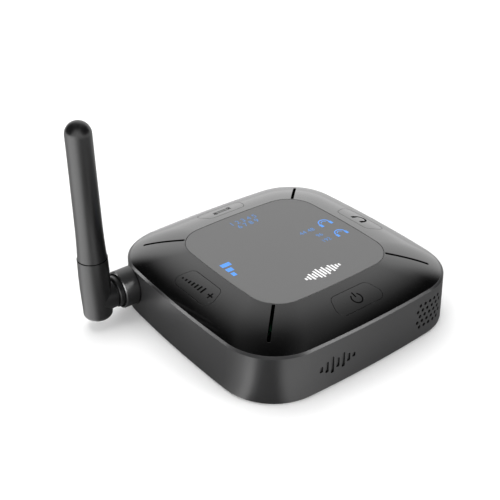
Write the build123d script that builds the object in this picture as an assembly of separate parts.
from build123d import *
import math
import os

# A desk-top wireless audio receiver: a rounded square case with a domed gloss top,
# a flat display window, four press buttons and a swivelling antenna on its left side.
# Origin: centre of the footprint on the table. +X right, +Y back (ports), +Z up. Millimetres.

os.makedirs("parts", exist_ok=True)

# ------------------------------------------------------------------ driving sizes
over = 1.0                  # cutters run this far past the faces they cut
far = 200.0                 # larger than the whole object, for trimming blocks

# Case outline at its top edge: four slightly bulged sides joined by tangent corner arcs.
body_half = 50.0            # centre line to the chord of each side
side_bulge = 2.35           # how far the middle of a side stands proud of its chord
corner_radius = 22.4
base_spread = 0.8           # the walls flare outward to the base by this much
case_top_z = 20.0           # where the wall ends and the edge chamfer starts
edge_chamfer = 0.72         # 45 degree chamfer round the top edge of the lower case
base_round = 0.8            # round along the bottom edge of the lower case
case_wall = 2.0
floor_thickness = 2.0

# Domed top shell and the display window let into it.
dome_height = 5.95          # rim to window face
dome_linear = 0.6           # share of the dome's fall that is straight; the rest is cubic
shell_thickness = 2.0
shell_rim_wall = 1.8
seam_step = 0.12            # the shell stands this far inside the rim of the lower case
lip_depth = 2.5
lip_thickness = 1.5
lip_gap = 0.15
skirt_depth = 8.0           # straight skirt of the dome's block, trimmed off later
dome_steps = 4              # sections of the dome between window and rim
window_half = 31.2
window_bulge = 1.35
window_radius = 13.3
window_thickness = 1.2
window_gap = 0.12
window_ledge = 2.2
window_bevel = 0.15
slit_width = 1.25           # one through slit on each diagonal
slit_end_margin = 5.3       # left between the slit's end and the rim
slit_start_margin = 0.35    # left between the window and the slit
slit_round_share = 0.45     # of the slit's width, at its ends

# Buttons: one symmetrical trapezoid cap on each side of the dome.
button_gap = 0.15           # round each cap
button_inner_margin = 4.6   # window edge to the cap
button_outer_margin = 5.3   # cap to the rim
button_inner_half = 9.0     # half length of the cap's inner edge
button_outer_half = 12.4    # half length of the cap's outer edge
button_corner = 1.9
button_travel = 0.4
flange_thickness = 1.0
flange_grow = 1.2           # the hidden flange is larger than its opening by this
flange_gap = 0.2            # flange to the underside of the shell
post_radius = 1.8

# Tact switches under the caps.
switch_size = 4.5
switch_height = 1.7
plunger_radius = 1.0
plunger_gap = 0.1
plunger_rise = 0.5          # stands above its housing
plunger_bore = 1.3          # depth of the bore it moves in
switch_corner = 0.3

# Rubber ring foot in a groove under the case.
foot_height = 0.4           # stands below the case
groove_depth = 0.8
foot_inner_half = 29.0
foot_width = 4.5
foot_radius = 12.0

# Printed boards.
board_thickness = 1.6
board_standoff = 3.0
board_half_x = 41.0
board_front_y = 40.0
board_gap = 1.2             # board edge to the case wall
control_thickness = 1.2
control_below_rim = 3.5     # board top below the rim plane
control_half_x = 36.0
control_half_y = 31.0
control_tab_half = 7.0
control_tab_margin = 6.4    # tab end to the rim
control_corner = 3.0
control_tab_corner = 2.0
board_post_gap = 0.6        # main board round the case's screw posts

# Light shield and diffuser behind the window.
diffuser_thickness = 0.6
shield_gap = 0.8            # shield and diffuser to the window opening
shield_wall = 1.0
shield_cells = 3
cell_corner = 3.0
led_size = 1.6
led_height = 0.7
led_spread_share = 0.2      # of the cell's pitch, each side of its middle
led_width_share = 0.5       # of the lamp's length

# Connector that joins the two boards.
link_x = 0.0
link_y = -20.0
link_pins = 10
link_pitch = 2.0
link_pin_half = 0.25
link_pin_gap = 0.1
link_socket_height = 5.0
link_strip_height = 2.0
link_depth = 4.0
link_end_wall = 0.5
link_floor = 1.0            # under the socket's pin holes
link_pin_rise = 0.5         # pin tips above that floor

# Parts on the boards: x, y, width, depth, height.
processor_chip = (16.0, 6.0, 10.0, 10.0, 1.4)
converter_block = (24.0, 20.0, 6.0, 7.0, 1.2)
regulator_block = (2.0, 33.0, 6.5, 6.0, 2.3)
inductor_block = (12.0, 31.0, 6.0, 6.0, 4.0)
crystal_can = (16.0, -4.0, 9.0, 3.6, 3.2)
driver_chip = (14.0, 8.0, 9.0, 9.0, 1.2)
module_board = (-8.0, 8.0, 13.0, 26.0, 0.8)
module_can = (-8.0, 6.0, 11.5, 17.0, 2.0)
chip_bevel_share = 0.12     # of a chip's height
inductor_round = 1.4
crystal_round = 1.75
capacitor_places = ((30, 6), (30, -2), (30, -10), (-28, -6), (-28, -14), (32, 14), (4, 24))
capacitor_radius = 2.5
capacitor_height = 5.4
capacitor_round = 0.4

# Screws.
case_screw_inset = 8.0      # from body_half
case_screw_y = 19.0
case_post_radius = 4.2
case_boss_radius = 3.2
case_screw_radius = 1.45
case_head_radius = 2.7
case_head_height = 2.0
counterbore_depth = 4.0
post_below_rim = 4.7        # split between the posts of the two shells, below the rim
screw_bite = 5.2            # length of case screw in the upper boss
thread_gap = 0.05
head_gap = 0.2
board_screw_radius = 1.0
board_head_radius = 1.9
board_head_height = 1.2
board_screw_bite = 3.6
pilot_gap = 0.3             # pilot holes are deeper than their screws by this
head_bevel_share = 0.2      # of a screw head's height
tip_bevel_share = 0.4       # of a shank's radius
recess_reach_share = 1.1    # cross recess, of the head's radius
recess_width_share = 0.28
control_screw_x = 33.0
control_screw_y = 20.0
control_boss_radius = 2.6
main_screw_front = (32.0, -32.0)
main_screw_back = (24.0, 29.0)
standoff_radius = 3.0

# Rear port panel: a flat recess in the bulged back wall.
port_face_inset = 1.75      # flat face to the crown of the back wall
port_panel_half = 38.0
port_low_z = 4.6
port_margin_top = 1.5       # below the top edge of the case
port_round = 2.0
fit_gap = 0.2               # sockets in their panel openings
connector_gap = 0.1         # connector bodies behind the panel
port_cut_depth = 10.0       # how far the recess cutter runs out past the wall

optical_x = (-29.6, -17.6)
optical_width = 9.7
optical_height = 10.0
optical_depth = 13.5
optical_nose_width = 8.4
optical_nose_height = 9.0
optical_hole_width = 6.6
optical_hole_low = 3.2      # opening below the socket's middle
optical_hole_high = 3.9     # opening above it
optical_hole_depth = 11.2
flap_thickness = 0.7
flap_gap = 0.12
flap_recess = 0.9           # flap behind the nose face
flap_pin_radius = 0.4
flap_pin_length = 0.4
flap_pin_gap = 0.05         # round each pin
flap_end_gap = 0.1          # past each pin's end
lens_radius = 1.1
lens_length = 2.0
lens_round_share = 0.6      # of the lens's radius

jack_x = (16.0, 27.0)
jack_width = 6.6
jack_height = 6.4
jack_depth = 11.5
jack_nose_size = 6.0         # square face round the bore
jack_nose_round = 1.2
jack_bore_radius = 1.85
jack_bore_depth = 12.6
nose_set_back = 0.3         # socket noses end this far inside the port face

usb_x = 4.5
usb_width = 7.6
usb_height = 2.9
usb_depth = 5.4
usb_wall = 0.3
usb_tongue_width = 3.7
usb_tongue_height = 0.65
usb_tongue_set_back = 1.0
usb_outer_round = 0.8
usb_inner_round = 0.55

slide_x = -6.5
slide_width = 8.6
slide_height = 3.8
slide_depth = 3.8
slide_travel = 2.0
knob_width = 2.0
knob_height = 1.6
knob_gap = 0.1
knob_proud = 0.8
knob_root = 2.2             # length of the knob behind the body's face
slide_slot_depth = 2.5
knob_ridges = 3
ridge_width = 0.24
ridge_depth = 0.25

# Vent holes on the right of the front wall: rows with a half pitch offset.
vent_radius = 0.75
vent_pitch = 2.73
vent_row_pitch = 2.43
vent_rows = 5
vent_first_x = 23.7
vent_long_row = 6
vent_low_z = 6.0
vent_cut_start = 8.0        # the hole cutters start this far outside the wall

# Plain level bars sunk in the left of the front wall.
mark_first_x = -25.6
mark_pitch = 2.55
mark_bar_width = 1.5
mark_heights = (2.4, 4.6, 7.0, 4.0, 6.2, 3.4, 1.8)
mark_mid_z = 10.2
mark_depth = 0.45
mark_cut = 3.0              # length of the bars' cutter
mark_round_share = 0.3      # of a bar's width

# Antenna: a swivel about X on a boss at the left side, near the back corner.
pivot_y = 33.0
boss_radius = 7.7
boss_below_top = 0.07       # crown of the boss below the top edge of the case
boss_length = 8.35          # body_half to the boss end
boss_chamfer = 0.35
boss_root = 5.6             # how far the boss runs in past the wall
boss_recess_radius = 6.9
boss_recess_depth = 1.05
inner_pad_radius = 5.4
inner_pad_inset = 2.8       # body_half to the flat pad inside
spindle_radius = 2.5
spindle_bore = 1.4
spindle_gap = 0.05
washer_thickness = 0.4
washer_radius = 5.6
spring_washer_thickness = 0.6
nut_thickness = 2.6
nut_across = 8.6
spindle_proud = 0.6
disc_gap = 0.5              # inner disc round its edge in the recess
inner_disc_proud = 2.0      # inner disc outside the boss end
groove_width = 0.6
groove_radius = 5.0
outer_disc_radius = 6.0
disc_round = 0.45
antenna_offset = 17.7       # body_half to the antenna's axis
sleeve_low_z = 4.1
sleeve_radius = 6.05
sleeve_end_radius = 5.9
sleeve_bottom_round = 2.2
seam_z = 31.2
blade_foot_radius = 5.72
blade_waist_radius = 5.15
blade_tip_radius = 4.95
antenna_top_z = 87.4
sleeve_bore = 4.2
spigot_gap = 0.1
spigot_length = 5.0
blade_bore = 3.2
elbow_depth = 2.8           # sleeve bore below the pivot axis
element_radius = 2.2
element_rod_radius = 0.8
element_start = 4.8         # above the seam
blade_waist_share = 0.4     # of the blade's height
sleeve_chamfer = 0.2
sleeve_slopes = ((0, 1), (-0.02, 1))    # radius, height: at the sleeve's foot and top
blade_slopes = ((-0.075, 1), (0, 1))    # the same at the blade's foot and shoulder
foot_shrink = 0.1           # sleeve's foot inside its top radius
spacer_margin = 2.0         # spacers from the ends of the brass sleeve
spacer_gap = 0.1
element_cap = 2.0           # solid brass over the sleeve's bore
element_bore_gap = 0.3      # round the lead
lead_in_element = 5.0       # how far the lead runs up the element
element_sleeve_length = 22.0
element_rod_length = 20.0
spacer_length = 3.0
coax_radius = 0.68
coax_socket_x = -21.0
coax_socket_y = 8.0
coax_socket_radius = 1.4
coax_socket_height = 0.8
coax_plug_radius = 1.6
coax_plug_height = 1.7
coax_arm = 3.6
coax_arm_width = 1.8
coax_turn_inset = 33.7      # antenna's axis to where the lead turns up
coax_lean = 0.3             # the rising run leans outward by this
coax_bends = (3.9, 7.5)
feed_bend = 3.6
split_inset = 2.0           # the lead's two halves meet this far outside the inner disc's face

# ------------------------------------------------------------------ derived levels and places
case_low_z = foot_height
floor_top = case_low_z + floor_thickness
rim_z = case_top_z + edge_chamfer
window_z = rim_z + dome_height
rim_half = body_half - edge_chamfer
rim_radius = corner_radius - edge_chamfer * 0.6
rim_edge = rim_half + side_bulge - seam_step
window_edge = window_half + window_bulge
inner_half = body_half - case_wall
inner_radius = corner_radius - case_wall
post_split_z = rim_z - post_below_rim
control_top = rim_z - control_below_rim
control_low = control_top - control_thickness
board_low = floor_top + board_standoff
board_top = board_low + board_thickness
port_face_y = body_half + side_bulge - port_face_inset
port_back_y = port_face_y - case_wall
nose_face_y = port_face_y - nose_set_back
connector_y = port_back_y - connector_gap
port_high_z = case_top_z - port_margin_top
case_screw_x = body_half - case_screw_inset
button_inner = window_edge + button_inner_margin
button_outer = rim_edge - button_outer_margin
button_mid = (button_inner + button_outer) / 2
shield_top = window_z - window_thickness - diffuser_thickness
opening_half = window_half - window_ledge
opening_radius = window_radius - window_ledge
pivot_z = case_top_z - boss_below_top - boss_radius
boss_end_x = -(body_half + boss_length)
recess_floor_x = boss_end_x + boss_recess_depth
pad_x = -(body_half - inner_pad_inset)
antenna_x = -(body_half + antenna_offset)
inner_disc_x = recess_floor_x - washer_thickness
inner_disc_outer_x = boss_end_x - inner_disc_proud
nut_x = pad_x + spring_washer_thickness
spindle_end_x = nut_x + nut_thickness + spindle_proud
plunger_top = control_top + switch_height + plunger_rise
optical_mid_z = board_top + optical_height / 2
jack_mid_z = board_top + jack_height / 2
flap_axis_y = nose_face_y - flap_recess - flap_thickness / 2
flap_axis_z = optical_mid_z + optical_hole_high - flap_gap - flap_thickness / 2
knob_mid_z = board_top + slide_height / 2
usb_mid_z = board_top + usb_height / 2
coax_split_x = inner_disc_x - split_inset
coax_turn_x = antenna_x + coax_turn_inset
coax_plug_z = board_top + coax_socket_height


# ------------------------------------------------------------------ helpers
def turned(x, y, quarter_turns):
    """A point turned about the centre by quarter turns."""
    for _ in range(quarter_turns):
        x, y = -y, x
    return (x, y)


def corner_arc(half, bulge, radius):
    """Side radius, its centre's offset, and the corner arc's centre on the diagonal."""
    side_radius = (half**2 + bulge**2) / (2 * bulge)
    side_centre = side_radius - half - bulge
    reach = side_radius - radius
    corner = (math.sqrt(2 * reach**2 - side_centre**2) - side_centre) / 2
    return side_radius, side_centre, corner


def outline(half, bulge, radius):
    """Face of the case's outline: bulged sides joined by tangent corner arcs."""
    side_radius, side_centre, corner = corner_arc(half, bulge, radius)
    reach = side_radius - radius
    touch_x = (corner + side_centre) * side_radius / reach - side_centre
    touch_y = corner * side_radius / reach
    crown = corner + radius / math.sqrt(2)
    edges = []
    for turns in range(4):
        start = turned(touch_x, -touch_y, turns)
        middle = turned(half + bulge, 0, turns)
        end = turned(touch_x, touch_y, turns)
        corner_mid = turned(crown, crown, turns)
        next_start = turned(touch_y, touch_x, turns)
        edges.append(ThreePointArc(start, middle, end))
        edges.append(ThreePointArc(end, corner_mid, next_start))
    return Face(Wire(edges))


def slab(face, low, high):
    """A flat face on the XY plane raised between two levels."""
    return extrude(Pos(0, 0, low) * face, amount=high - low, dir=(0, 0, 1))


def block(x, y, z):
    """A box from three (low, high) pairs."""
    size = Box(x[1] - x[0], y[1] - y[0], z[1] - z[0])
    return Pos(sum(x) / 2, sum(y) / 2, sum(z) / 2) * size


def block_at(x, y, width, depth, low, high):
    """A box given by its middle and size across, and two levels."""
    across = (x - width / 2, x + width / 2)
    along = (y - depth / 2, y + depth / 2)
    return block(across, along, (low, high))


def post(x, y, radius, low, high):
    """An upright cylinder between two levels."""
    return Pos(x, y, (low + high) / 2) * Cylinder(radius, high - low)


def rod_x(y, z, radius, low, high):
    """A cylinder along X."""
    return Pos((low + high) / 2, y, z) * Rot(0, 90, 0) * Cylinder(radius, high - low)


def rod_y(x, z, radius, low, high):
    """A cylinder along Y."""
    return Pos(x, (low + high) / 2, z) * Rot(90, 0, 0) * Cylinder(radius, high - low)


def rounded_bar_y(x, z, width, height, corner, low, high):
    """A bar along Y with a rounded rectangular section."""
    section = extrude(RectangleRounded(width, height, corner), amount=high - low)
    return Pos(x, high, z) * Rot(90, 0, 0) * section


def mirrored_places(x, y):
    """The four places (+-x, +-y)."""
    return [(x, y), (-x, y), (-x, -y), (x, -y)]


def dome_level(share):
    """Height of the dome where share runs from 0 at the window to 1 at the rim."""
    fall = dome_linear * share + (1 - dome_linear) * share**3
    return window_z - dome_height * fall


def dome_block():
    """The dome as one solid, with a straight skirt under its rim."""
    top_half = rim_half - seam_step
    top_radius = rim_radius - seam_step
    sections = []
    for step in range(dome_steps + 1):
        share = 1 - step / dome_steps
        half = window_half + (top_half - window_half) * share
        bulge = window_bulge + (side_bulge - window_bulge) * share
        radius = window_radius + (top_radius - window_radius) * share
        sections.append(Pos(0, 0, dome_level(share)) * outline(half, bulge, radius))
    skirt = slab(outline(top_half, side_bulge, top_radius), rim_z - skirt_depth, rim_z)
    return loft(sections) + skirt


def button_face(grow):
    """Trapezoid of the right-hand cap, grown all round."""
    run = button_outer - button_inner
    slant = math.atan2(button_outer_half - button_inner_half, run)
    side_grow = grow / math.cos(slant)
    tilt = grow * math.tan(slant)
    inner = button_inner - grow
    outer = button_outer + grow
    inner_y = button_inner_half + side_grow - tilt
    outer_y = button_outer_half + side_grow + tilt
    corners = [(inner, -inner_y), (outer, -outer_y), (outer, outer_y), (inner, inner_y)]
    return fillet(Polygon(*corners, align=None).vertices(), button_corner + grow)


def screw(head_radius, head_height, shank_radius, length):
    """A pan head screw, head down, its seat at z 0 and its shank rising; cross recess below."""
    head = Pos(0, 0, -head_height / 2) * Cylinder(head_radius, head_height)
    head = chamfer(head.edges().group_by(Axis.Z)[0], head_height * head_bevel_share)
    shank = Pos(0, 0, length / 2) * Cylinder(shank_radius, length)
    shank = chamfer(shank.edges().group_by(Axis.Z)[-1], shank_radius * tip_bevel_share)
    slot = Box(head_radius * recess_reach_share, head_radius * recess_width_share, head_height)
    cross = slot + Rot(0, 0, 90) * slot
    return head + shank - Pos(0, 0, -head_height) * cross


def tube_along(name, points, bends, radius):
    """A lead: straight runs joined by tangent arcs. Prints its bends and length."""
    path = FilletPolyline(*points, radius=list(bends))
    tube = sweep(Plane(origin=path @ 0, z_dir=path % 0) * Circle(radius), path=path)
    section = math.pi * radius**2
    print(f"{name}: bend radii {bends} mm, diameter {2 * radius:.2f} mm, length {path.length:.2f} mm")
    print(f"{name}: volume over section times length {tube.volume / (section * path.length):.5f}")
    return tube


# ------------------------------------------------------------------ case
def make_lower_case():
    top_face = outline(body_half, side_bulge, corner_radius)
    base_face = outline(body_half + base_spread, side_bulge, corner_radius + base_spread)
    rim_face = outline(rim_half, side_bulge, rim_radius)
    wall = loft([Pos(0, 0, case_low_z) * base_face, Pos(0, 0, case_top_z) * top_face], ruled=True)
    wall = fillet(wall.edges().group_by(Axis.Z)[0], base_round)
    collar = loft([Pos(0, 0, case_top_z) * top_face, Pos(0, 0, rim_z) * rim_face], ruled=True)
    case = wall + collar
    case += rod_x(pivot_y, pivot_z, boss_radius, boss_end_x, -inner_half + boss_root)
    boss_edges = case.edges().filter_by(GeomType.CIRCLE).sort_by(Axis.X)[:1]
    case = chamfer(boss_edges, boss_chamfer)

    cavity = slab(outline(inner_half, side_bulge, inner_radius), floor_top, rim_z + over)
    cavity &= block((-far, far), (-far, port_back_y), (0, rim_z + 2 * over))
    cavity -= rod_x(pivot_y, pivot_z, inner_pad_radius, -far, pad_x)
    case -= cavity

    # Rear port panel and its openings.
    panel_mid = (port_low_z + port_high_z) / 2
    recess = RectangleRounded(2 * port_panel_half, port_high_z - port_low_z, port_round)
    case -= Pos(0, port_face_y, panel_mid) * Rot(90, 0, 0) * extrude(recess, amount=-port_cut_depth)
    case -= port_openings()

    # Antenna boss: recess and bearing bore.
    case -= rod_x(pivot_y, pivot_z, boss_recess_radius, boss_end_x - over, recess_floor_x)
    case -= rod_x(pivot_y, pivot_z, spindle_radius + spindle_gap, boss_end_x - over, pad_x + over)

    # Screw posts and board standoffs.
    for x, y in mirrored_places(case_screw_x, case_screw_y):
        case += post(x, y, case_post_radius, floor_top, post_split_z)
        case -= post(x, y, case_head_radius + head_gap, 0, case_low_z + counterbore_depth)
        case -= post(x, y, case_screw_radius + head_gap, 0, post_split_z + over)
    for x, y in main_screw_places():
        case += post(x, y, standoff_radius, floor_top, board_low)
        pilot_low = board_low - board_screw_bite
        case -= post(x, y, board_screw_radius + thread_gap, pilot_low, board_low + over)

    case -= foot_ring_face_slab(0, case_low_z + groove_depth)
    case -= vent_holes()
    case -= front_mark()
    return case


def port_openings():
    """Openings through the rear panel for every socket and the slide switch."""
    through = (port_back_y - over, port_face_y + over)
    cuts = []
    for x in optical_x:
        half_w = optical_nose_width / 2 + fit_gap
        half_h = optical_nose_height / 2 + fit_gap
        middle = optical_mid_z
        cuts.append(block((x - half_w, x + half_w), through, (middle - half_h, middle + half_h)))
    jack_open = jack_nose_size + 2 * fit_gap
    jack_round = jack_nose_round + fit_gap
    for x in jack_x:
        cuts.append(rounded_bar_y(x, jack_mid_z, jack_open, jack_open, jack_round, *through))
    half_usb = usb_width / 2 + fit_gap
    usb_z = (board_top - fit_gap, board_top + usb_height + fit_gap)
    cuts.append(block((usb_x - half_usb, usb_x + half_usb), through, usb_z))
    half_slide = (slide_travel + knob_width) / 2 + fit_gap
    half_knob = knob_height / 2 + fit_gap
    slide_z = (knob_mid_z - half_knob, knob_mid_z + half_knob)
    cuts.append(block((slide_x - half_slide, slide_x + half_slide), through, slide_z))
    return Compound([cut.solid() for cut in cuts])


def vent_holes():
    """Rows of small holes through the front wall."""
    holes = []
    for row in range(vent_rows):
        z = vent_low_z + row * vent_row_pitch
        long_row = row % 2 == 1
        count = vent_long_row if long_row else vent_long_row - 1
        first = vent_first_x if long_row else vent_first_x + vent_pitch / 2
        for column in range(count):
            x = first + column * vent_pitch
            hole = rod_y(x, z, vent_radius, -(body_half + vent_cut_start), -(inner_half - vent_cut_start))
            holes.append(hole.solid())
    return Compound(holes)


def front_wall_y(x, z):
    """Distance of the front wall's face from the centre plane."""
    spread = base_spread * (case_top_z - z) / (case_top_z - case_low_z)
    half = body_half + spread
    side_radius = (half**2 + side_bulge**2) / (2 * side_bulge)
    return half + side_bulge - side_radius + math.sqrt(side_radius**2 - x**2)


def front_mark():
    """A row of plain level bars, sunk in the front wall."""
    bars = []
    for index, height in enumerate(mark_heights):
        x = mark_first_x + index * mark_pitch
        face_y = front_wall_y(x, mark_mid_z)
        bar = RectangleRounded(mark_bar_width, height, mark_bar_width * mark_round_share)
        cutter = extrude(bar, amount=mark_cut)
        placed = Pos(x, -(face_y - mark_depth), mark_mid_z) * Rot(90, 0, 0) * cutter
        bars.append(placed.solid())
    return Compound(bars)


def make_top_shell(dome):
    rim_plane_up = block((-far, far), (-far, far), (rim_z, window_z + over))
    shell = dome & rim_plane_up
    hollow_half = rim_half - seam_step - shell_rim_wall
    hollow_face = outline(hollow_half, side_bulge, rim_radius - shell_rim_wall)
    hollow = slab(hollow_face, rim_z - over, window_z) & (Pos(0, 0, -shell_thickness) * dome)
    shell -= hollow

    # Lip that plugs into the lower case, notched over the rear panel.
    lip_half = inner_half - lip_gap
    lip_outer = outline(lip_half, side_bulge, inner_radius - lip_gap)
    lip_radius = inner_radius - lip_gap - lip_thickness
    lip_inner = outline(lip_half - lip_thickness, side_bulge, lip_radius)
    lip = slab(lip_outer, rim_z - lip_depth, rim_z) - slab(lip_inner, 0, rim_z + over)
    lip += (slab(lip_outer, rim_z, rim_z + over) - slab(lip_inner, rim_z, rim_z + over)) & dome
    lip -= block((-far, far), (port_back_y - lip_gap, far), (0, rim_z))
    shell += lip

    # Window seat and opening.
    seat = outline(window_half, window_bulge, window_radius)
    opening = outline(opening_half, window_bulge, opening_radius)
    shell -= slab(seat, window_z - window_thickness, window_z + over)
    shell -= slab(opening, rim_z, window_z + over)

    # Bosses for the case screws and for the control board, trimmed to the dome.
    bosses = []
    for x, y in mirrored_places(case_screw_x, case_screw_y):
        boss = post(x, y, case_boss_radius, post_split_z, window_z)
        pilot_top = post_split_z + screw_bite + pilot_gap
        bosses.append(boss - post(x, y, case_screw_radius + thread_gap, 0, pilot_top))
    for x, y in mirrored_places(control_screw_x, control_screw_y):
        boss = post(x, y, control_boss_radius, control_top, window_z - window_thickness)
        pilot_top = control_top + board_screw_bite + pilot_gap
        bosses.append(boss - post(x, y, board_screw_radius + thread_gap, 0, pilot_top))
    for boss in bosses:
        shell += boss & (Pos(0, 0, -shell_thickness / 2) * dome)

    # Through slits on the diagonals and the four button openings.
    for turns in range(4):
        shell -= Rot(0, 0, 90 * turns) * slit_cutter()
        opening = slab(button_face(button_gap), rim_z - skirt_depth, window_z + over)
        shell -= Rot(0, 0, 90 * turns) * opening
    return shell


def diagonal_reach(half, bulge, radius):
    """Distance from the centre to an outline's corner along the diagonal."""
    corner = corner_arc(half, bulge, radius)[2]
    return corner * math.sqrt(2) + radius


def slit_cutter():
    """A slot along the first diagonal, open-ended shape with a round outer end."""
    start = diagonal_reach(window_half, window_bulge, window_radius) + slit_start_margin
    end = diagonal_reach(rim_half, side_bulge, rim_radius) - slit_end_margin
    length = end - start
    bar = RectangleRounded(length, slit_width, slit_width * slit_round_share)
    cutter = extrude(bar, amount=dome_height + 2 * over)
    return Rot(0, 0, 45) * Pos((start + end) / 2, 0, rim_z - over) * cutter


def make_window():
    face = outline(window_half - window_gap, window_bulge, window_radius - window_gap)
    window = slab(face, window_z - window_thickness, window_z)
    return chamfer(window.edges().group_by(Axis.Z)[-1], window_bevel)


def make_diffuser():
    face = outline(opening_half - shield_gap, window_bulge, opening_radius - shield_gap)
    return slab(face, shield_top, shield_top + diffuser_thickness)


def cell_centres():
    """Centres of the light shield's cells, and their pitch."""
    width = 2 * (opening_half - 2 * shield_gap)
    pitch = (width - shield_wall) / shield_cells
    first = -pitch * (shield_cells - 1) / 2
    return [first + pitch * index for index in range(shield_cells)], pitch


def make_light_shield():
    centres, pitch = cell_centres()
    width = pitch * shield_cells + shield_wall
    body = slab(RectangleRounded(width, width, opening_radius - shield_gap), control_top, shield_top)
    cell = RectangleRounded(pitch - shield_wall, pitch - shield_wall, cell_corner)
    for x in centres:
        for y in centres:
            body -= Pos(x, y, 0) * slab(cell, control_top - over, shield_top + over)
    return body


def make_display_leds():
    centres, pitch = cell_centres()
    leds = []
    for x in centres:
        for y in centres:
            for side in (-1, 1):
                middle = x + side * pitch * led_spread_share
                width = led_size * led_width_share
                top = control_top + led_height
                leds.append(block_at(middle, y, led_size, width, control_top, top).solid())
    return Compound(leds)


def make_foot_ring():
    return foot_ring_face_slab(0, case_low_z + groove_depth)


def foot_ring_face_slab(low, high):
    outer = outline(foot_inner_half + foot_width, side_bulge, foot_radius + foot_width)
    inner = outline(foot_inner_half, side_bulge, foot_radius)
    return slab(outer, low, high) - slab(inner, low - over, high + over)


# ------------------------------------------------------------------ buttons and switches
def make_button(dome, quarter_turns):
    """A cap that continues the dome, with a hidden flange and a post down to its switch."""
    turn = Rot(0, 0, 90 * quarter_turns)
    cap_depth = shell_thickness + flange_gap + flange_thickness
    cap_column = turn * slab(button_face(0), rim_z - skirt_depth, window_z + over)
    flange_column = turn * slab(button_face(flange_grow), rim_z - skirt_depth, window_z + over)
    cap = (cap_column & dome) - (Pos(0, 0, -cap_depth) * dome)
    flange = flange_column & (Pos(0, 0, -(shell_thickness + flange_gap)) * dome)
    flange -= Pos(0, 0, -cap_depth) * dome
    x, y = turned(button_mid, 0, quarter_turns)
    stem_top = dome_level(0.5) - cap_depth + flange_thickness / 2
    stem = post(x, y, post_radius, plunger_top, stem_top)
    return cap + flange + stem


def make_switch(quarter_turns):
    x, y = turned(button_mid, 0, quarter_turns)
    housing = Box(switch_size, switch_size, switch_height)
    housing = chamfer(housing.edges().filter_by(Axis.Z), switch_corner)
    housing = Pos(x, y, control_top + switch_height / 2) * housing
    top = control_top + switch_height
    return housing - post(x, y, plunger_radius + plunger_gap, top - plunger_bore, top + over)


def make_plunger(quarter_turns):
    x, y = turned(button_mid, 0, quarter_turns)
    low = control_top + switch_height - plunger_bore + button_travel + plunger_gap
    return post(x, y, plunger_radius, low, plunger_top)


# ------------------------------------------------------------------ boards
def main_screw_places():
    front_x, front_y = main_screw_front
    back_x, back_y = main_screw_back
    return [(front_x, front_y), (-front_x, front_y), (back_x, back_y), (-back_x, back_y)]


def make_main_board():
    shape = outline(inner_half - board_gap, side_bulge, inner_radius - board_gap)
    board = slab(shape, board_low, board_top)
    limits_y = (-board_front_y, port_back_y - connector_gap)
    board &= block((-board_half_x, board_half_x), limits_y, (board_low, board_top))
    for x, y in mirrored_places(case_screw_x, case_screw_y):
        board -= post(x, y, case_post_radius + board_post_gap, 0, board_top + over)
    for x, y in main_screw_places():
        board -= post(x, y, board_screw_radius + head_gap, 0, board_top + over)
    return board


def make_control_board():
    middle = RectangleRounded(2 * control_half_x, 2 * control_half_y, control_corner)
    board = slab(middle, control_low, control_top)
    tab_end = rim_edge - control_tab_margin
    tab = RectangleRounded(2 * tab_end, 2 * control_tab_half, control_tab_corner)
    for angle in (0, 90):
        board += Rot(0, 0, angle) * slab(tab, control_low, control_top)
    for x, y in mirrored_places(control_screw_x, control_screw_y):
        board -= post(x, y, board_screw_radius + head_gap, 0, control_top + over)
    return board


def link_pin_columns(low, high, half):
    """One square column for each pin."""
    first = link_x - link_pitch * (link_pins - 1) / 2
    places = [first + index * link_pitch for index in range(link_pins)]
    return [block_at(x, link_y, 2 * half, 2 * half, low, high) for x in places]


def link_body(low, high):
    length = link_pitch * link_pins + 2 * link_end_wall
    return block_at(link_x, link_y, length, link_depth, low, high)


def make_link_socket():
    top = board_top + link_socket_height
    socket = link_body(board_top, top)
    for hole in link_pin_columns(board_top + link_floor, top + over, link_pin_half + link_pin_gap):
        socket -= hole
    return socket


def make_link_header():
    strip_low = control_low - link_strip_height
    header = link_body(strip_low, control_low)
    tips = board_top + link_floor + link_pin_rise
    for pin in link_pin_columns(tips, strip_low + link_strip_height / 2, link_pin_half):
        header += pin
    return header


def chip(size, base):
    """A moulded block with a bevelled top, from its place and size and the level it sits on."""
    x, y, width, depth, height = size
    body = block_at(x, y, width, depth, base, base + height)
    return chamfer(body.edges().group_by(Axis.Z)[-1], height * chip_bevel_share)


def make_bluetooth_module():
    x, y, width, depth, height = module_board
    return block_at(x, y, width, depth, board_top, board_top + height)


def make_module_shield():
    return chip(module_can, board_top + module_board[-1])


def make_power_inductor():
    x, y, width, depth, height = inductor_block
    coil = block_at(x, y, width, depth, board_top, board_top + height)
    return fillet(coil.edges().filter_by(Axis.Z), inductor_round)


def make_crystal():
    x, y, width, depth, height = crystal_can
    can = RectangleRounded(width, depth, crystal_round)
    return Pos(x, y, 0) * slab(can, board_top, board_top + height)


def make_capacitors():
    cans = []
    for x, y in capacitor_places:
        can = post(x, y, capacitor_radius, board_top, board_top + capacitor_height)
        can = fillet(can.edges().group_by(Axis.Z)[-1], capacitor_round)
        cans.append(can.solid())
    return Compound(cans)


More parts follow.
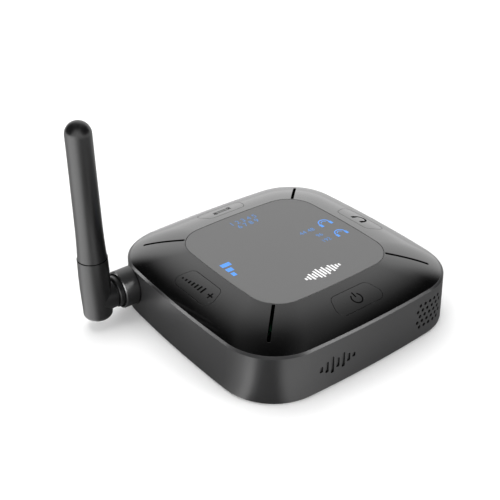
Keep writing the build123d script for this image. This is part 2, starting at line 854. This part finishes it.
# ------------------------------------------------------------------ rear sockets
def make_optical_socket(x):
    """A square optical socket with a spring flap's pivot holes near its mouth."""
    middle = optical_mid_z
    half_width = optical_width / 2
    body_y = (connector_y - optical_depth, connector_y)
    body_z = (board_top, board_top + optical_height)
    body = block((x - half_width, x + half_width), body_y, body_z)
    nose_half = optical_nose_width / 2
    nose_y = (connector_y - over, nose_face_y)
    nose_z = (middle - optical_nose_height / 2, middle + optical_nose_height / 2)
    body += block((x - nose_half, x + nose_half), nose_y, nose_z)
    hole_half = optical_hole_width / 2
    hole_y = (nose_face_y - optical_hole_depth, nose_face_y + over)
    hole_z = (middle - optical_hole_low, middle + optical_hole_high)
    body -= block((x - hole_half, x + hole_half), hole_y, hole_z)
    reach = hole_half + flap_pin_length + flap_end_gap
    pin_hole = flap_pin_radius + flap_pin_gap
    return body - rod_x(flap_axis_y, flap_axis_z, pin_hole, x - reach, x + reach)


def make_optical_flap(x):
    """The dust flap: a plate hung on two stub pins, closing the mouth."""
    half = optical_hole_width / 2 - flap_gap
    low = optical_mid_z - optical_hole_low + flap_gap
    thick = (flap_axis_y - flap_thickness / 2, flap_axis_y + flap_thickness / 2)
    plate = block((x - half, x + half), thick, (low, flap_axis_z))
    plate += rod_x(flap_axis_y, flap_axis_z, flap_thickness / 2, x - half, x + half)
    reach = optical_hole_width / 2 + flap_pin_length
    return plate + rod_x(flap_axis_y, flap_axis_z, flap_pin_radius, x - reach, x + reach)


def make_optical_lenses():
    lenses = []
    for x in optical_x:
        back = nose_face_y - optical_hole_depth
        lens = rod_y(x, optical_mid_z, lens_radius, back, back + lens_length)
        rim = lens.edges().group_by(Axis.Y)[-1]
        lenses.append(fillet(rim, lens_radius * lens_round_share).solid())
    return Compound(lenses)


def make_jack(x):
    """A 3.5 mm audio jack: block body, square-faced nose and one round bore."""
    half = jack_width / 2
    body_y = (connector_y - jack_depth, connector_y)
    body = block((x - half, x + half), body_y, (board_top, board_top + jack_height))
    size = jack_nose_size
    nose_y = (connector_y - over, nose_face_y)
    body += rounded_bar_y(x, jack_mid_z, size, size, jack_nose_round, *nose_y)
    bore_y = (nose_face_y - jack_bore_depth, nose_face_y + over)
    return body - rod_y(x, jack_mid_z, jack_bore_radius, *bore_y)


def make_usb_shell():
    """The sheet metal shell of the power socket, closed at its back."""
    back = nose_face_y - usb_depth
    outer = (usb_width, usb_height, usb_outer_round)
    inner = (usb_width - 2 * usb_wall, usb_height - 2 * usb_wall, usb_inner_round)
    hollow = rounded_bar_y(usb_x, usb_mid_z, *inner, back + usb_wall, nose_face_y)
    return rounded_bar_y(usb_x, usb_mid_z, *outer, back, nose_face_y) - hollow


def make_usb_tongue():
    half_width = usb_tongue_width / 2
    half_height = usb_tongue_height / 2
    back = nose_face_y - usb_depth + usb_wall
    along = (back, nose_face_y - usb_tongue_set_back)
    up = (usb_mid_z - half_height, usb_mid_z + half_height)
    return block((usb_x - half_width, usb_x + half_width), along, up)


def make_slide_body():
    half = slide_width / 2
    body_y = (connector_y - slide_depth, connector_y)
    body = block((slide_x - half, slide_x + half), body_y, (board_top, board_top + slide_height))
    slot_half = (slide_travel + knob_width) / 2 + knob_gap
    slot_y = (connector_y - slide_slot_depth, connector_y + over)
    slot_z = (knob_mid_z - knob_height / 2 - knob_gap, knob_mid_z + knob_height / 2 + knob_gap)
    return body - block((slide_x - slot_half, slide_x + slot_half), slot_y, slot_z)


def make_slide_knob():
    """The knob at the left end of its travel, with grip ridges on its face."""
    left = slide_x - (slide_travel + knob_width) / 2
    face_y = port_face_y + knob_proud
    up = (knob_mid_z - knob_height / 2, knob_mid_z + knob_height / 2)
    knob = block((left, left + knob_width), (connector_y - knob_root, face_y), up)
    for ridge in range(knob_ridges):
        x = left + knob_width * (ridge + 1) / (knob_ridges + 1)
        across = (x - ridge_width / 2, x + ridge_width / 2)
        knob -= block(across, (face_y - ridge_depth, face_y + over), up)
    return knob


# ------------------------------------------------------------------ antenna
def make_antenna_base():
    """Sleeve, swivel discs and hollow spindle, moulded as one."""
    mid_z = (sleeve_low_z + seam_z) / 2
    flat = sleeve_end_radius - foot_shrink - sleeve_bottom_round
    start = (flat, sleeve_low_z)
    shoulder = (flat + sleeve_bottom_round, sleeve_low_z + sleeve_bottom_round)
    round_mid = (
        flat + sleeve_bottom_round * math.sin(math.pi / 4),
        sleeve_low_z + sleeve_bottom_round * (1 - math.cos(math.pi / 4)),
    )
    profile = [
        Line((0, sleeve_low_z), start),
        ThreePointArc(start, round_mid, shoulder),
        Spline([shoulder, (sleeve_radius, mid_z), (sleeve_end_radius, seam_z)], tangents=sleeve_slopes),
        Line((sleeve_end_radius, seam_z), (0, seam_z)),
        Line((0, seam_z), (0, sleeve_low_z)),
    ]
    sleeve = turned_solid(profile)
    sleeve = chamfer(sleeve.edges().group_by(Axis.Z)[-1], sleeve_chamfer)

    outer_disc_x = inner_disc_outer_x - groove_width
    outer_disc = rod_x(pivot_y, pivot_z, outer_disc_radius, antenna_x, outer_disc_x)
    outer_disc = fillet(outer_disc.edges().group_by(Axis.X)[-1], disc_round)
    neck = rod_x(pivot_y, pivot_z, groove_radius, antenna_x, inner_disc_x - over)
    inner_radius_x = boss_recess_radius - disc_gap
    inner_disc = rod_x(pivot_y, pivot_z, inner_radius_x, inner_disc_outer_x, inner_disc_x)
    inner_disc = fillet(inner_disc.edges().group_by(Axis.X)[0], disc_round)
    spindle = rod_x(pivot_y, pivot_z, spindle_radius, inner_disc_x - over, spindle_end_x)

    base = sleeve + outer_disc + neck + inner_disc + spindle
    base -= post(antenna_x, pivot_y, sleeve_bore, pivot_z - elbow_depth, seam_z + over)
    return base - rod_x(pivot_y, pivot_z, spindle_bore, antenna_x, spindle_end_x + over)


def turned_solid(profile):
    """Revolve a radius-height profile about the antenna's axis."""
    face = Plane.XZ * make_face(profile)
    return Pos(antenna_x, pivot_y, 0) * revolve(face, Axis.Z)


def make_antenna_blade():
    """The long cover: a slim waisted tube with a round tip and a spigot in the sleeve."""
    tip_z = antenna_top_z - blade_tip_radius
    foot = (blade_foot_radius, seam_z)
    shoulder = (blade_tip_radius, tip_z)
    waist = (blade_waist_radius, seam_z + (tip_z - seam_z) * blade_waist_share)
    crown = (blade_tip_radius / math.sqrt(2), tip_z + blade_tip_radius / math.sqrt(2))
    profile = [
        Line((0, seam_z), foot),
        Spline([foot, waist, shoulder], tangents=blade_slopes),
        ThreePointArc(shoulder, crown, (0, antenna_top_z)),
        Line((0, antenna_top_z), (0, seam_z)),
    ]
    blade = turned_solid(profile)
    spigot_low = seam_z - spigot_length
    blade += post(antenna_x, pivot_y, sleeve_bore - spigot_gap, spigot_low, seam_z + over)
    return blade - post(antenna_x, pivot_y, blade_bore, spigot_low - over, tip_z)


def make_antenna_element():
    """Brass radiator: a sleeve below and a rod above."""
    low = seam_z + element_start
    joint = low + element_sleeve_length
    element = post(antenna_x, pivot_y, element_radius, low, joint)
    element += post(antenna_x, pivot_y, element_rod_radius, joint - over, joint + element_rod_length)
    bore = coax_radius + element_bore_gap
    return element - post(antenna_x, pivot_y, bore, low - over, joint - element_cap)


def make_element_spacers():
    low = seam_z + element_start + spacer_margin
    high = seam_z + element_start + element_sleeve_length - spacer_length - spacer_margin
    rings = []
    for z in (low, high):
        top = z + spacer_length
        ring = post(antenna_x, pivot_y, blade_bore - spacer_gap, z, top)
        ring -= post(antenna_x, pivot_y, element_radius, z - over, top + over)
        rings.append(ring.solid())
    return Compound(rings)


def make_friction_washer():
    washer = rod_x(pivot_y, pivot_z, washer_radius, inner_disc_x, recess_floor_x)
    bore = spindle_radius + spindle_gap
    return washer - rod_x(pivot_y, pivot_z, bore, inner_disc_x - over, recess_floor_x + over)


def make_spring_washer():
    washer = rod_x(pivot_y, pivot_z, nut_across / 2, pad_x, nut_x)
    return washer - rod_x(pivot_y, pivot_z, spindle_radius, pad_x - over, nut_x + over)


def make_hinge_nut():
    hexagon = RegularPolygon(nut_across / 2, 6, major_radius=False)
    nut = Pos(nut_x, pivot_y, pivot_z) * Rot(0, 90, 0) * extrude(hexagon, amount=nut_thickness)
    bore_end = nut_x + nut_thickness + over
    return nut - rod_x(pivot_y, pivot_z, spindle_radius, nut_x - over, bore_end)


def make_coax_socket():
    return post(coax_socket_x, coax_socket_y, coax_socket_radius, board_top, coax_plug_z)


def make_coax_plug():
    top = coax_plug_z + coax_plug_height
    cap = post(coax_socket_x, coax_socket_y, coax_plug_radius, coax_plug_z, top)
    arm_x = coax_socket_x - coax_arm / 2
    return cap + block_at(arm_x, coax_socket_y, coax_arm, coax_arm_width, coax_plug_z, top)


def make_coax_lead():
    """The pigtail: from its plug on the board, along the board and into the hollow spindle."""
    exit_z = coax_plug_z + coax_plug_height / 2
    points = [
        (coax_socket_x - coax_arm, coax_socket_y, exit_z),
        (coax_turn_x + coax_lean, coax_socket_y, exit_z),
        (coax_turn_x, pivot_y, pivot_z),
        (coax_split_x, pivot_y, pivot_z),
    ]
    return tube_along("coax_lead", points, coax_bends, coax_radius)


def make_feed_lead():
    """The lead inside the antenna: out of the spindle, up the sleeve and into the element."""
    points = [
        (coax_split_x, pivot_y, pivot_z),
        (antenna_x, pivot_y, pivot_z),
        (antenna_x, pivot_y, seam_z + element_start + lead_in_element),
    ]
    return tube_along("feed_lead", points, (feed_bend,), coax_radius)


# ------------------------------------------------------------------ fasteners
def make_case_screws():
    seat = case_low_z + counterbore_depth
    length = post_split_z + screw_bite - seat
    one = screw(case_head_radius, case_head_height, case_screw_radius, length)
    places = mirrored_places(case_screw_x, case_screw_y)
    return Compound([(Pos(x, y, seat) * one).solid() for x, y in places])


def make_control_screws():
    length = control_thickness + board_screw_bite
    one = screw(board_head_radius, board_head_height, board_screw_radius, length)
    places = mirrored_places(control_screw_x, control_screw_y)
    return Compound([(Pos(x, y, control_low) * one).solid() for x, y in places])


def make_main_screws():
    length = board_thickness + board_screw_bite - pilot_gap
    one = Rot(180, 0, 0) * screw(board_head_radius, board_head_height, board_screw_radius, length)
    return Compound([(Pos(x, y, board_top) * one).solid() for x, y in main_screw_places()])


# ------------------------------------------------------------------ build and write
def build():
    dome = dome_block()
    parts = {
        "lower_case": make_lower_case(),
        "top_shell": make_top_shell(dome),
        "display_window": make_window(),
        "display_diffuser": make_diffuser(),
        "light_shield": make_light_shield(),
        "display_leds": make_display_leds(),
        "foot_ring": make_foot_ring(),
        "main_board": make_main_board(),
        "control_board": make_control_board(),
        "link_socket": make_link_socket(),
        "link_header": make_link_header(),
        "bluetooth_module": make_bluetooth_module(),
        "module_shield": make_module_shield(),
        "audio_processor": chip(processor_chip, board_top),
        "converter_chip": chip(converter_block, board_top),
        "power_regulator": chip(regulator_block, board_top),
        "power_inductor": make_power_inductor(),
        "crystal": make_crystal(),
        "capacitors": make_capacitors(),
        "display_driver": chip(driver_chip, control_low - driver_chip[-1]),
        "optical_lenses": make_optical_lenses(),
        "usb_shell": make_usb_shell(),
        "usb_tongue": make_usb_tongue(),
        "slide_switch_body": make_slide_body(),
        "slide_switch_knob": make_slide_knob(),
        "antenna_base": make_antenna_base(),
        "antenna_blade": make_antenna_blade(),
        "antenna_element": make_antenna_element(),
        "element_spacers": make_element_spacers(),
        "friction_washer": make_friction_washer(),
        "spring_washer": make_spring_washer(),
        "hinge_nut": make_hinge_nut(),
        "coax_socket": make_coax_socket(),
        "coax_plug": make_coax_plug(),
        "coax_lead": make_coax_lead(),
        "feed_lead": make_feed_lead(),
        "case_screws": make_case_screws(),
        "control_board_screws": make_control_screws(),
        "main_board_screws": make_main_screws(),
    }
    button_names = ("pairing", "input", "volume", "power")
    for quarter_turns, name in enumerate(button_names):
        parts[name + "_button"] = make_button(dome, quarter_turns)
        parts[name + "_switch"] = make_switch(quarter_turns)
        parts[name + "_plunger"] = make_plunger(quarter_turns)
    for name, x in zip(("input", "output"), optical_x):
        parts["optical_" + name + "_socket"] = make_optical_socket(x)
        parts["optical_" + name + "_flap"] = make_optical_flap(x)
    for name, x in zip(("in", "out"), jack_x):
        parts["line_" + name + "_jack"] = make_jack(x)
    return parts


for node, shape in build().items():
    export_step(shape, "parts/" + node + ".step")
